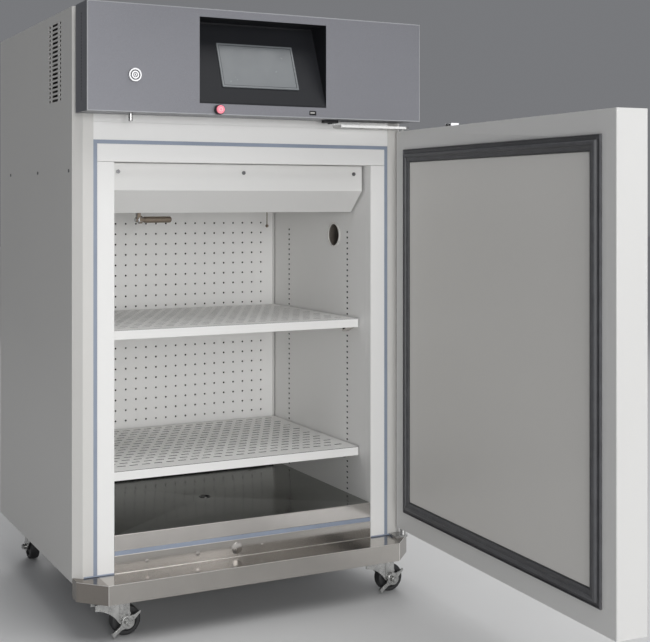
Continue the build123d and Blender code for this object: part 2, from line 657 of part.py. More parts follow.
def power_button():
    """Round push button: a domed cap on a stem."""
    y = BOX_Y0
    cap = rod_y(BUTTON_X, y - 12, y - 3.6, BUTTON_Z, CAP_R)
    cap = fillet(cap.edges().filter_by(GeomType.CIRCLE).sort_by(Axis.Y)[0], 1.6)
    return cap + rod_y(BUTTON_X, y - 4, y + 13, BUTTON_Z, BUTTON_R)


def lock_body():
    """Lock bezel and housing, fixed in the front of the control box."""
    y = BOX_Y0
    body = rod_y(LOCK_X, y - 3.5, y, LOCK_Z, 13.5)
    body = fillet(body.edges().filter_by(GeomType.CIRCLE).sort_by(Axis.Y)[0], 1.2)
    body += rod_y(LOCK_X, y - 0.5, y + 13, LOCK_Z, 11)
    return body - rod_y(LOCK_X, y - 4, y + 14, LOCK_Z, 8.05)


def lock_barrel():
    """Key barrel with a crank disc and pin on its back end."""
    y = BOX_Y0
    barrel = rod_y(LOCK_X, y - 4, y + 16, LOCK_Z, 8)
    barrel += rod_y(LOCK_X, y + 13.5, y + 16, LOCK_Z, 12)
    at = CRANK_R * math.cos(math.radians(45))
    barrel += rod_y(LOCK_X + at, y + 15, y + 21.5, LOCK_Z + at, 2)
    return barrel - box(LOCK_X - 0.7, LOCK_X + 0.7, y - 5, y + 3, LOCK_Z - 4, LOCK_Z + 4)


def lock_bolt():
    """Bolt that drops into the door: a round rod below a slotted yoke on the crank pin."""
    pin_z = LOCK_Z + CRANK_R * math.cos(math.radians(45))
    bolt = rod_z(LOCK_X, BOLT_Y, BOLT_TIP, pin_z - 8, BOLT_R)
    bolt = chamfer(bolt.edges().filter_by(GeomType.CIRCLE).sort_by(Axis.Z)[0], 1.2)
    yoke = box(LOCK_X - 6, LOCK_X + 16, BOLT_Y - 7, BOLT_Y - 3, pin_z - 12, pin_z + 8)
    slot = box(LOCK_X + 3.6, LOCK_X + 12, BOLT_Y - 8, BOLT_Y - 2, pin_z - 2.6, pin_z + 2.6)
    return bolt + yoke - slot


# --- Hinges and door switch ----------------------------------------------------------------
def upper_hinge_strap():
    """Flat strap screwed to the header, with the upper hinge pin under its end."""
    z0, z1 = 1014.6, 1019.6
    plate = box(200, HINGE_X, HINGE_Y - 14, -0.3, z0, z1) + rod_z(HINGE_X, HINGE_Y, z0, z1, 14)
    plate += box(200, BREAK_OUT - 1, -1.5, 1.9, z0, BOX_Z0 - 0.2)
    plate += rod_z(HINGE_X, HINGE_Y, 986, z1, HINGE_PIN_R)
    return plate


def lower_hinge_bracket():
    """Bracket on the ledge with the lower hinge pin and its thrust washer."""
    z = LEDGE_TOP
    plate = box(HINGE_X - 24, HINGE_X, HINGE_Y - 11, -0.2, z, z + 4)
    plate += rod_z(HINGE_X, HINGE_Y, z, z + 4, 11)
    return plate + rod_z(HINGE_X, HINGE_Y, z, 165, HINGE_PIN_R) + rod_z(HINGE_X, HINGE_Y, z, 137, 6.5)


def door_switch():
    """Sealed switch under the control box that senses the magnet on the door."""
    return box(158, 190, -40, -24, BOX_Z0 - 6, BOX_Z0) + rod_z(174, -32, BOX_Z0 - 8, BOX_Z0 - 5, 5)


# --- Door ----------------------------------------------------------------------------------
def door_shell():
    """Outer pan of the door with its return flange round the inner face."""
    t = SKIN
    shell = box(-DOOR_HALF, DOOR_HALF, DOOR_Y0, DOOR_Y1, DOOR_Z0, DOOR_Z1)
    edges = shell.edges().filter_by(Axis.Z) + shell.faces().sort_by(Axis.Y)[0].edges().filter_by(Axis.X)
    shell = fillet(edges, DOOR_EDGE_R)
    shell -= box(-DOOR_HALF + t, DOOR_HALF - t, DOOR_Y0 + t, DOOR_Y1 - t, DOOR_Z0 + t, DOOR_Z1 - t)
    side = DOOR_HALF - GASKET_SIDE - 6
    end = GASKET_END + 6
    shell -= box(-side, side, DOOR_Y1 - 3, DOOR_Y1 + 1, DOOR_Z0 + end, DOOR_Z1 - end)
    for z in (DOOR_Z0, DOOR_Z1):
        shell -= rod_z(HINGE_X, HINGE_Y, z - 3, z + 3, 6.6)
    shell -= rod_z(LOCK_X, BOLT_Y, DOOR_Z1 - 3, DOOR_Z1 + 3, KEEPER_R + 2.1)
    cut = (HANDLE_W - 6, HANDLE_H - 6)
    x0, x1 = HANDLE_X - cut[0] / 2, HANDLE_X + cut[0] / 2
    return shell - box(x0, x1, DOOR_Y0 - 1, DOOR_Y0 + 3, HANDLE_Z - cut[1] / 2, HANDLE_Z + cut[1] / 2)


def door_inner_panel():
    """Inner sheet of the door, raised a little inside the gasket."""
    side = DOOR_HALF - GASKET_SIDE - GASKET_W - 0.6
    end = GASKET_END + GASKET_W + 0.6
    wide = DOOR_HALF - GASKET_SIDE - 6.2
    tall = GASKET_END + 6.2
    y = DOOR_Y1
    t = 1.2
    panel = box(-wide, wide, y - 1.5, y - 0.2, DOOR_Z0 + tall, DOOR_Z1 - tall)
    raised = box(-side, side, y - 1, y + 3.5, DOOR_Z0 + end, DOOR_Z1 - end)
    panel += fillet(raised.faces().sort_by(Axis.Y)[-1].edges(), 1.0)
    return panel - box(-side + t, side - t, y - 2, y + 3.5 - t, DOOR_Z0 + end + t, DOOR_Z1 - end - t)


def ring(side, end, width, y0, y1):
    """A rectangular ring on the door, with its outer edge inset by side and end."""
    x = DOOR_HALF - side
    outer = box(-x, x, y0, y1, DOOR_Z0 + end, DOOR_Z1 - end)
    inset = x - width
    return outer - box(-inset, inset, y0 - 1, y1 + 1, DOOR_Z0 + end + width, DOOR_Z1 - end - width)


def door_gasket():
    """Magnetic gasket: a base strip with a raised hollow rib that meets the frame."""
    base = ring(GASKET_SIDE, GASKET_END, GASKET_W, DOOR_Y1, DOOR_Y1 + 4)
    rib = ring(GASKET_SIDE + 3, GASKET_END + 3, 16, DOOR_Y1 + 3, -0.4)
    return base + rib


def door_insulation():
    """Foam filling of the door."""
    t = SKIN + 0.3
    foam = box(-DOOR_HALF + t, DOOR_HALF - t, DOOR_Y0 + t, DOOR_Y1 - t - 0.2, DOOR_Z0 + t, DOOR_Z1 - t)
    for z in (DOOR_Z0, DOOR_Z1):
        foam -= rod_z(HINGE_X, HINGE_Y, z - 30, z + 30, 7.2)
    foam -= rod_z(LOCK_X, BOLT_Y, DOOR_Z1 - 30, DOOR_Z1 + 3, KEEPER_R + 2.6)
    return foam - box(HANDLE_X - 26, HANDLE_X + 26, DOOR_Y0 - 1, DOOR_Y0 + 30, HANDLE_Z - 98, HANDLE_Z + 98)


def door_handle_cup():
    """Recessed pull near the door's free edge: a cup with an undercut for the fingers."""
    x0, x1 = HANDLE_X - HANDLE_W / 2, HANDLE_X + HANDLE_W / 2
    z0, z1 = HANDLE_Z - HANDLE_H / 2, HANDLE_Z + HANDLE_H / 2
    y = DOOR_Y0
    rim = box(x0 - 4, x1 + 4, y - 2.5, y - 0.05, z0 - 4, z1 + 4)
    rim = fillet(rim.edges().filter_by(Axis.Y), 6)
    cup = box(x0 + 3.2, x1 - 3.2, y - 1, y + HANDLE_DEPTH, z0 + 3.2, z1 - 3.2)
    return rim + cup - box(x0 + 5.5, x1 - 5.5, y - 4, y + HANDLE_DEPTH - 2.2, z0 + 5.5, z1 - 5.5)


def door_magnet():
    """Magnet block on the door's top edge that works the door switch."""
    magnet = box(162, 186, -40, -22, DOOR_Z1, DOOR_Z1 + 7)
    for x in (166.0, 182.0):
        magnet -= rod_z(x, -31, DOOR_Z1 + 4, DOOR_Z1 + 9, 2.4)
    return magnet


def tube_z(x, y, z0, z1, outer, inner):
    """An upright sleeve."""
    return rod_z(x, y, z0, z1, outer) - rod_z(x, y, z0 - 1, z1 + 1, inner)


def door_bushes():
    """Two hinge bushes and the keeper that takes the lock bolt."""
    bore = HINGE_PIN_R + 0.05
    lower = tube_z(HINGE_X, HINGE_Y, DOOR_Z0, DOOR_Z0 + 27, 6.5, bore)
    upper = tube_z(HINGE_X, HINGE_Y, DOOR_Z1 - 26, DOOR_Z1, 6.5, bore)
    keeper = tube_z(LOCK_X, BOLT_Y, DOOR_Z1 - 25, DOOR_Z1, KEEPER_R + 2, KEEPER_R)
    return Compound(children=[lower, upper, keeper])


def door_at_rest(shape):
    """Turns a part of the closed door to its stored, open position."""
    return shape.rotate(Axis((HINGE_X, HINGE_Y, 0), (0, 0, 1)), DOOR_REST_DEG)


# --- Casters, drawn at the origin with the wheel trailing towards +X -----------------------
def caster_plate():
    """Top plate with the upper race and the kingpin."""
    plate = box(-30, 30, -30, 30, 81, FRAME_Z0)
    plate = fillet(plate.edges().filter_by(Axis.Z), 5)
    for x in (-23, 23):
        for y in (-23, 23):
            plate -= rod_z(x, y, 80, 86, 3.2)
    pin = rod_z(0, 0, 65, 82, KINGPIN_R) + rod_z(0, 0, 63.5, 66.6, 8)
    return plate + rod_z(0, 0, 75, 82, 21) + pin


def fork_leg(y0, y1):
    """One cheek of the fork: swept back to the swivel head, and rounded under the axle."""
    lines = Line((-31, 58), (-31, 70)) + Line((-31, 70), (39.5, 70)) + Line((39.5, 70), (39.5, 50))
    lines += Line((39.5, 50), (45, 34)) + ThreePointArc((45, 34), (36, 18.4), (25, 22))
    lines += Line((25, 22), (16, 30)) + ThreePointArc((16, 30), (-4, 49.5), (-31, 58))
    outline = Plane.XZ * make_face(lines)
    return Pos(0, y0, 0) * extrude(outline, y1 - y0, dir=(0, 1, 0))


def caster_fork(braked):
    """Swivel head with two cheeks and the fixed axle."""
    head = rod_z(0, 0, 67, 74.7, 23)
    head = fillet(head.edges().filter_by(GeomType.CIRCLE).sort_by(Axis.Z)[-1], 2.5)
    head += box(-31, 39.5, -16.5, 16.5, 67, 70)
    head -= rod_z(0, 0, 60, 80, KINGPIN_R + 0.05)
    fork = head + fork_leg(-16.5, -14) + fork_leg(14, 16.5)
    for y in (-16.5, 14):
        fork += box(18, 20.5, y - 1, y + 3.5, 33, 67)
    front = -26 if braked else -20
    fork += rod_y(TRAIL, front + 3, 20, WHEEL_R, AXLE_R)
    fork += rod_y(TRAIL, front, front + 3.8, WHEEL_R, 6.5)
    return fork + rod_y(TRAIL, 16.5, 20, WHEEL_R, 6.5)


def caster_wheel():
    """Solid wheel with a rounded tread and dished sides."""
    wheel = rod_y(TRAIL, -WHEEL_W / 2, WHEEL_W / 2, WHEEL_R, WHEEL_R)
    wheel = fillet(wheel.edges().filter_by(GeomType.CIRCLE), 4)
    for side in (-1, 1):
        y0, y1 = sorted((side * 7.5, side * (WHEEL_W / 2 + 1)))
        wheel -= rod_y(TRAIL, y0, y1, WHEEL_R, 21) - rod_y(TRAIL, y0, y1, WHEEL_R, 9)
    return wheel - rod_y(TRAIL, -20, 20, WHEEL_R, AXLE_R + 0.05)


def brake_lever():
    """Pressed brake lever on the axle's outer end: a thin wing, and a thick one with a toe."""
    y0, y1 = -23.6, -17.2
    hub = rod_y(TRAIL, y0, y1, WHEEL_R, 13.5)
    hub = fillet(hub.edges().filter_by(GeomType.CIRCLE).sort_by(Axis.Y)[0], 1.2)
    wings = profile_y([(8, -6), (29, -2), (32, -0.4), (31.5, 1.8), (20, 2.6), (8, 8)], -22.4, -18.5)
    thick = [(-8, 7), (-18, 4), (-36, 4), (-36, -4), (-18, -4), (-8, -8)]
    wings += profile_y(thick, -22.4, -18.5)
    wings += profile_y([(-20, 2.2), (-33, 2.2), (-33, -2.2), (-20, -2.2)], -23.6, -22)
    wings += profile_y([(-36, 5), (-39, 4), (-39, -4), (-36, -5)], -24, -17.2)
    lever = hub + Pos(TRAIL, 0, WHEEL_R) * Rot(0, -LEVER_TILT, 0) * wings
    lever -= rod_y(TRAIL, -30, -21.8, WHEEL_R, 8.8)
    return lever - rod_y(TRAIL, -30, -10, WHEEL_R, AXLE_R + 0.05)


CASTERS = {
    "front_left": (-CASTER_X, CASTER_FRONT_Y, 0),
    "front_right": (CASTER_X, CASTER_FRONT_Y, 0),
    "rear_left": (-CASTER_X, CASTER_REAR_Y, 90),
    "rear_right": (CASTER_X, CASTER_REAR_Y, 90),
}


def at_caster(corner, shape):
    """Places a caster piece at its corner, trailing the way it is stored."""
    x, y, turn = CASTERS[corner]
    return Pos(x, y, 0) * Rot(0, 0, turn) * shape


# --- Assembly ------------------------------------------------------------------------------
parts["left_side_panel"] = side_panel()
parts["right_side_panel"] = right_side_panel()
parts["top_cover"] = top_cover()
parts["rear_cover"] = rear_cover()
parts["base_frame"] = base_frame()
parts["front_ledge"] = front_ledge()
parts["front_frame"] = front_frame()
parts["thermal_break"] = thermal_break()
parts["chamber_floor"] = chamber_floor()
parts["chamber_liner"] = chamber_liner()
parts["insulation"] = insulation()
parts["air_diffuser_panel"] = air_diffuser_panel()
parts["air_hood"] = air_hood()
parts["cabinet_screws"] = cabinet_screws()
parts["shelf_clips"] = shelf_clips()
parts["cable_port"] = cable_port()
parts["temperature_probes"] = temperature_probes()
parts["drain_fitting"] = drain_fitting()
parts["evaporator"] = evaporator()
parts["heater_element"] = heater_element()
parts["fan_motors"] = fan_motors()
parts["circulation_fan"] = circulation_fan()
parts["condenser_fan"] = condenser_fan()
parts["condenser"] = condenser()
parts["compressor"] = compressor()
parts["machine_deck"] = machine_deck()
parts["electronics"] = electronics()
parts["power_inlet"] = power_inlet()
parts["control_box"] = control_box()
parts["display_recess"] = display_recess()
parts["touch_screen"] = touch_screen()
parts["usb_port"] = usb_port()
parts["power_button_ring"] = power_button_ring()
parts["power_button"] = power_button()
parts["lock_body"] = lock_body()
parts["lock_barrel"] = lock_barrel()
parts["lock_bolt"] = lock_bolt()
parts["upper_hinge_strap"] = upper_hinge_strap()
parts["lower_hinge_bracket"] = lower_hinge_bracket()
parts["door_switch"] = door_switch()
parts["door_shell"] = door_at_rest(door_shell())
parts["door_inner_panel"] = door_at_rest(door_inner_panel())
parts["door_gasket"] = door_at_rest(door_gasket())
parts["door_insulation"] = door_at_rest(door_insulation())
parts["door_handle_cup"] = door_at_rest(door_handle_cup())
parts["door_magnet"] = door_at_rest(door_magnet())
parts["door_bushes"] = door_at_rest(door_bushes())
for shelf_name in SHELF_TOPS:
    parts[shelf_name] = shelf(shelf_name)
plates = [at_caster(corner, caster_plate()) for corner in CASTERS]
parts["caster_plates"] = Compound(children=plates)
for corner in CASTERS:
    braked = corner.startswith("front")
    parts[f"caster_fork_{corner}"] = at_caster(corner, caster_fork(braked))
    parts[f"caster_wheel_{corner}"] = at_caster(corner, caster_wheel())
    if braked:
        parts[f"brake_lever_{corner}"] = at_caster(corner, brake_lever())

os.makedirs("parts", exist_ok=True)
for name, shape in parts.items():
    export_step(shape, f"parts/{name}.step")
print(len(parts), "nodes written")
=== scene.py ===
"""Looks of the laboratory incubator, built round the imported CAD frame."""

import json
import math

import bmesh
import bpy
from mathutils import Matrix, Vector

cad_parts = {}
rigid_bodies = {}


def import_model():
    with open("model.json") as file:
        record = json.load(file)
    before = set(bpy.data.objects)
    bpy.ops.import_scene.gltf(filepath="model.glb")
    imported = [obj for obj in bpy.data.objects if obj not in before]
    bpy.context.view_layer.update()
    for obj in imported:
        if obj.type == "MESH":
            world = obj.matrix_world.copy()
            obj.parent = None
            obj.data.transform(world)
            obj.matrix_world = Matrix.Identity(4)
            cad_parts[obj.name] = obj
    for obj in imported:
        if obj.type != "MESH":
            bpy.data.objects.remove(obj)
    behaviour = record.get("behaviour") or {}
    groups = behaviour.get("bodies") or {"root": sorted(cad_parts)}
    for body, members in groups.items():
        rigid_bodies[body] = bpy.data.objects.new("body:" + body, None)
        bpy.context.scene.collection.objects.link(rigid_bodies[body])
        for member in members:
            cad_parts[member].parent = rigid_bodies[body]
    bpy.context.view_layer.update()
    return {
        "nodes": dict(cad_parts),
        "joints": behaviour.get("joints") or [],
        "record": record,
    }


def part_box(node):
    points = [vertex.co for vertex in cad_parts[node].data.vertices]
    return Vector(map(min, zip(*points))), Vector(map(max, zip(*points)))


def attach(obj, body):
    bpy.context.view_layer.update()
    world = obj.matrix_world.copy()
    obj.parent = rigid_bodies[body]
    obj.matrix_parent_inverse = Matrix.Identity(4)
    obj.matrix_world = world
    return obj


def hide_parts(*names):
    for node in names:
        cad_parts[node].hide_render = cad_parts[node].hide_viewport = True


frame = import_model()
NODES = frame["nodes"]

# --- Places, in metres, in the row frame ---------------------------------------------------
CAMERA_AT = (-1.0465, -2.2489, 0.858)
CAMERA_YAW = math.radians(26.1)  # to the right of +Y
LENS = 66.05
SENSOR = 36.0
SHIFT = (0.080, -0.185)

LEDGE_TOP = 0.1215
LEDGE_CORNER = 0.3260  # half the ledge's front, up to its slanted ends
SILL_HALF = 0.2928  # half the length of the beads along the sill
BAND_TOP = 0.1567  # just under the insulating strip over the band
SILL_TOP = 0.1971  # just under the top of the sill
BAND_MIDDLE = 0.1393  # height of the pressed buttons in the band
SEALANT = (0.2935, 0.3560)  # from the middle of the cabinet to a bead's inner and outer end
STRAP_SCREWS = (0.018, 0.060, 0.110)  # along X, from the strap's inner end
STRAP_SCREW_Y = -0.016
STRAP_SCREW_Z = 1.0146
PLATE_BOLT = 0.023  # from a caster's kingpin to its plate's bolts, along X and along Y
PLATE_BOLT_Z = 0.081
AXLE_NUT = 0.020  # from the middle of a wheel to the nuts on its axle
BRAKED_AXLE_NUT = 0.028  # the same on the outer side of a front wheel, past its brake lever
PROBE_Y = 0.250
PROBE_Z = 0.816

# Zones of a node painted in another tone, to set painted shade apart from the rest: an axis, and the
# lowest and highest place along it
BEHIND_WALLS = ("X", -0.2945, 0.2945)  # foam up to just behind the chamber's slotted side walls; painted near black there as the shade seen through the slots
DUCT = ("Y", 0.4836, 0.520)  # from the back of the perforated sheet to behind the duct; the liner there is painted near black as the shade inside the duct
INNER_FLOOR = ("Y", 0.004, 0.6)  # the chamber floor behind its front band, painted darker as the dim reflection its mirror-like steel shows
LEDGE_FRONT = ("X", -0.3262, 0.3262)  # the ledge between its slanted ends; the ends are painted darker as shade
UPPER_SLOTS = ("Z", 0.5954, 0.5964)  # inside the upper shelf's sheet: painted grey as the shade on the cut walls of its slots
LOWER_SLOTS = ("Z", 0.3109, 0.3119)  # the same in the lower shelf, painted near black as shade
PORT_BORE = ("X", 0.2935, 0.374)  # the cable port between its two rims; its bore is painted dark brown as shade


# --- Small helpers -------------------------------------------------------------------------
def link(obj):
    """Puts a new object in the scene."""
    bpy.context.scene.collection.objects.link(obj)
    return obj


def mesh_object(name, bm):
    """An object made from a bmesh."""
    bmesh.ops.recalc_face_normals(bm, faces=bm.faces)
    mesh = bpy.data.meshes.new(name)
    bm.to_mesh(mesh)
    bm.free()
    return link(bpy.data.objects.new(name, mesh))


def scaled(rgb, factor):
    """A lighter or darker version of a colour."""
    return tuple(min(1.0, c * factor) for c in rgb)


class Nodes:
    """Short way to build one material's node tree."""

    def __init__(self, name):
        self.material = bpy.data.materials.new(name)
        self.material.use_nodes = True
        self.tree = self.material.node_tree
        self.shader = self.tree.nodes["Principled BSDF"]
        coordinates = self.tree.nodes.new("ShaderNodeTexCoord")
        self.place = coordinates.outputs["Object"]

    def set(self, **values):
        """Constants on the shader's own sockets."""
        for key, value in values.items():
            socket = key.replace("_", " ").title().replace("Ior", "IOR")
            self.shader.inputs[socket].default_value = value

    def add(self, kind, **settings):
        """A new node of a kind, with its settings."""
        node = self.tree.nodes.new(kind)
        for key, value in settings.items():
            setattr(node, key, value)
        return node

    def join(self, output, socket):
        """A link from an output to an input."""
        self.tree.links.new(output, socket)

    def stretched(self, scale):
        """The object's own coordinates, scaled along each axis."""
        mapping = self.add("ShaderNodeMapping")
        mapping.inputs["Scale"].default_value = scale
        self.join(self.place, mapping.inputs["Vector"])
        return mapping.outputs["Vector"]

    def noise(self, scale, detail=3.0, roughness=0.5, stretch=(1, 1, 1)):
        """Cloudy values from 0 to 1."""
        node = self.add("ShaderNodeTexNoise")
        node.inputs["Scale"].default_value = scale
        node.inputs["Detail"].default_value = detail
        node.inputs["Roughness"].default_value = roughness
        self.join(self.stretched(stretch), node.inputs["Vector"])
        return node.outputs["Fac"]

    def cells(self, scale):
        """Distance to the nearest of many scattered points."""
        node = self.add("ShaderNodeTexVoronoi")
        node.inputs["Scale"].default_value = scale
        self.join(self.place, node.inputs["Vector"])
        return node.outputs["Distance"]

    def ramp(self, value, low, high, start=0.3, end=0.7):
        """A value between low and high as the input goes from start to end."""
        node = self.add("ShaderNodeMapRange")
        node.inputs["From Min"].default_value = start
        node.inputs["From Max"].default_value = end
        node.inputs["To Min"].default_value = low
        node.inputs["To Max"].default_value = high
        self.join(value, node.inputs["Value"])
        return node.outputs["Result"]

    def colour(self, value, first, second, start=0.3, end=0.7):
        """A colour that runs from first to second with the value."""
        node = self.add("ShaderNodeValToRGB")
        node.color_ramp.elements[0].position = start
        node.color_ramp.elements[1].position = end
        node.color_ramp.elements[0].color = (*first, 1)
        node.color_ramp.elements[1].color = (*second, 1)
        self.join(value, node.inputs["Fac"])
        return node.outputs["Color"]

    def mottled(self, value, rgb, share, start=0.3, end=0.7):
        """A colour that runs from a share darker to the same share lighter with the value."""
        return self.colour(value, scaled(rgb, 1 - share), scaled(rgb, 1 + share), start, end)

    def bump(self, value, distance):
        """Bump in metres."""
        node = self.add("ShaderNodeBump")
        node.inputs["Distance"].default_value = distance
        self.join(value, node.inputs["Height"])
        return node.outputs["Normal"]

    def within(self, axis, low, high):
        """1 where the object's own coordinate lies between low and high, else 0."""
        split = self.add("ShaderNodeSeparateXYZ")
        self.join(self.place, split.inputs["Vector"])
        compare = self.add("ShaderNodeMath", operation="COMPARE")
        compare.inputs[1].default_value = (low + high) / 2
        compare.inputs[2].default_value = (high - low) / 2
        self.join(split.outputs[axis], compare.inputs[0])
        return compare.outputs["Value"]

    def blend(self, share, first, second):
        """The colour output first, turning into the colour output second as share goes to 1."""
        node = self.add("ShaderNodeMix", data_type="RGBA")
        self.join(share, node.inputs["Factor"])
        self.join(first, node.inputs["A"])
        self.join(second, node.inputs["B"])
        return node.outputs["Result"]

    def finish(self, colour, roughness=None, normal=None):
        """Links the given outputs to the shader, and gives the material."""
        for output, socket in ((colour, "Base Color"), (roughness, "Roughness"), (normal, "Normal")):
            if output is not None:
                self.join(output, self.shader.inputs[socket])
        return self.material


# --- Materials -----------------------------------------------------------------------------
def powder_coat(
    name, rgb, rough=0.42, cloud=0.05, spangle=0.0, metal=0.0, gloss=0.5, zone=None, shade=0.013
):
    """Baked paint: fine orange peel, slight clouding, metal flakes, and, if a zone is given, painted
    shade in it.
    """
    n = Nodes(name)
    n.set(coat_weight=0.16 * gloss, coat_roughness=0.25, metallic=metal, specular_ior_level=gloss)
    clouds = n.noise(scale=2.2, detail=4.0)
    tone = n.mottled(clouds, rgb, cloud, 0.25, 0.75)
    if spangle:
        tone = with_flakes(n, tone, rgb, spangle)
    if zone:
        # painted shade: the zone takes the dark tone given by shade
        tone = n.blend(n.within(*zone), tone, n.mottled(clouds, (shade,) * 3, 0.2))
    roughness = n.ramp(clouds, rough - 0.05, rough + 0.06)
    return n.finish(tone, roughness, n.bump(n.noise(scale=900.0, detail=2.0), 0.00006))


def with_flakes(n, tone, rgb, share):
    """A paint's tone times the glitter of its metal flakes, which leaves the tone about as bright."""
    flakes = n.mottled(n.noise(scale=2600.0, detail=1.0), rgb, share, 0.35, 0.65)
    light = n.add("ShaderNodeHueSaturation")
    light.inputs["Value"].default_value = 1.0 / max(rgb)
    mix = n.add("ShaderNodeMix", data_type="RGBA", blend_type="MULTIPLY")
    mix.inputs["Factor"].default_value = 1.0
    n.join(flakes, light.inputs["Color"])
    n.join(tone, mix.inputs["A"])
    n.join(light.outputs["Color"], mix.inputs["B"])
    return mix.outputs["Result"]


def brushed(
    name, rgb, rough=0.28, along=(1, 1, 1), deep=0.00002, cloud=0.08, spread=0.0, zone=None, zone_rgb=None
):
    """Rolled or brushed metal: fine scratches, smudges, and, if a zone is given, another tone there that
    paints shade on part of the steel.
    """
    n = Nodes(name)
    n.set(metallic=1.0, anisotropic=spread, anisotropic_rotation=0.25)
    lines = n.noise(scale=700.0, detail=4.0, roughness=0.6, stretch=along)
    smudge = n.noise(scale=5.0, detail=5.0, roughness=0.6)
    tone = n.mottled(smudge, rgb, cloud)
    if zone:
        # painted shade: the zone sets a darker and a lighter part of the same steel apart
        tone = n.blend(n.within(*zone), tone, n.mottled(smudge, zone_rgb, cloud))
    roughness = n.ramp(lines, rough * 0.75, rough * 1.25)
    return n.finish(tone, roughness, n.bump(lines, deep))


def zinc(name, rgb, rough):
    """Zinc plating: cloudy spangle and tiny pits."""
    n = Nodes(name)
    n.set(metallic=1.0)
    tone = n.colour(n.noise(scale=60.0), scaled(rgb, 0.82), scaled(rgb, 1.1), 0.35, 0.65)
    roughness = n.ramp(n.cells(160.0), rough - 0.08, rough + 0.1, 0.0, 0.6)
    return n.finish(tone, roughness, n.bump(n.noise(scale=1200.0, detail=2.0), 0.00003))


def plastic(name, rgb, rough, grain=0.00005, scale=1400.0, painted_glow=0.0, zone=None):
    """Moulded plastic with a fine grain, painted light if it glows, and a dark brown zone of painted
    shade if given.
    """
    n = Nodes(name)
    # painted light: the part shines a little by itself
    if painted_glow:
        n.set(emission_color=(*rgb, 1), emission_strength=painted_glow)
    texture = n.noise(scale=scale, detail=2.0)
    clouds = n.noise(scale=9.0)
    tone = n.mottled(clouds, rgb, 0.07)
    if zone:
        # painted shade: dark brown for the shaded bore of the cable port
        brown = n.colour(clouds, (0.15, 0.13, 0.11), (0.20, 0.18, 0.16))
        tone = n.blend(n.within(*zone), tone, brown)
    roughness = n.ramp(texture, rough - 0.06, rough + 0.06)
    return n.finish(tone, roughness, n.bump(texture, grain))


def rubber(name, rgb, rough):
    """Soft rubber with dust in its pores."""
    n = Nodes(name)
    dust = n.noise(scale=35.0, detail=6.0, roughness=0.65)
    pores = n.noise(scale=1800.0, detail=2.0)
    tone = n.colour(dust, scaled(rgb, 0.85), scaled(rgb, 1.35), 0.35, 0.75)
    return n.finish(tone, n.ramp(dust, rough - 0.08, rough + 0.1), n.bump(pores, 0.00004))


def foam(name):
    """Rigid foam with visible cells, painted near black as shade where the chamber's wall slots look into
    it.
    """
    n = Nodes(name)
    n.set(roughness=0.9)
    cells = n.cells(420.0)
    tone = n.colour(cells, (0.50, 0.42, 0.22), (0.80, 0.72, 0.46), 0.05, 0.6)
    # painted shade: the foam seen through the wall slots
    dark = n.colour(cells, (0.008, 0.008, 0.008), (0.014, 0.013, 0.012), 0.05, 0.6)
    return n.finish(n.blend(n.within(*BEHIND_WALLS), tone, dark), None, n.bump(cells, 0.0006))


def circuit_board(name):
    """Green laminate with a faint pattern of copper runs under the lacquer."""
    n = Nodes(name)
    n.set(coat_weight=0.5, coat_roughness=0.2)
    bricks = n.add("ShaderNodeTexBrick")
    bricks.inputs["Scale"].default_value = 120.0
    n.join(n.place, bricks.inputs["Vector"])
    runs = bricks.outputs["Fac"]
    tone = n.colour(runs, (0.01, 0.09, 0.04), (0.03, 0.17, 0.08), 0.2, 0.8)
    return n.finish(tone, n.ramp(n.noise(scale=40.0), 0.35, 0.5), n.bump(runs, 0.00005))


WHITE = (0.87, 0.865, 0.85)
PORT_WHITE = (0.80, 0.79, 0.76)
ALONG_X = (0.02, 1, 1)  # stretches the scratches of a sheet along X

# By the record's material slot
MATERIALS = {
    # painted shade: the side panels are the front's white paint, made darker for the shade on the sides
    "side_paint": powder_coat("side_paint", (0.67, 0.66, 0.635), 0.46, cloud=0.02),
    "white_paint": powder_coat("white_paint", WHITE, cloud=0.015),
    "box_paint": powder_coat("box_paint", (0.215, 0.216, 0.226), 0.38, spangle=0.12, metal=0.65),
    # painted shade: the door is the same white paint, made darker for its shaded faces
    "door_grey": powder_coat("door_grey", (0.72, 0.705, 0.675), 0.38, cloud=0.02),
    "frame_steel": powder_coat("frame_steel", (0.06, 0.063, 0.066), 0.5),
    "stainless": brushed("stainless", (0.60, 0.57, 0.54), 0.14, ALONG_X, 0.000005, spread=0.5),
    "zinc": zinc("zinc", (0.50, 0.50, 0.49), 0.24),
    "chrome": brushed("chrome", (0.56, 0.56, 0.57), 0.16, deep=0.000004, cloud=0.05),
    "aluminium": brushed("aluminium", (0.72, 0.73, 0.74), 0.35, along=(1, 1, 0.05)),
    "probe": brushed("probe", (0.30, 0.25, 0.20), 0.55, deep=0.00008, cloud=0.15),
    "strip": plastic("strip", (0.28, 0.325, 0.41), 0.42),
    "gasket": rubber("gasket", (0.085, 0.086, 0.092), 0.5),
    "wheel": rubber("wheel", (0.02, 0.02, 0.021), 0.5),
    "black": plastic("black", (0.012, 0.012, 0.014), 0.5),
    "screen": plastic("screen", (0.165, 0.178, 0.187), 0.22, grain=0.0, scale=40.0),
    "port_white": plastic("port_white", PORT_WHITE, 0.3),
    # the power button shines with painted light
    "red": plastic("red", (0.90, 0.24, 0.31), 0.22, grain=0.00001, painted_glow=0.3),
    "foam": foam("foam"),
    "board": circuit_board("board"),
}

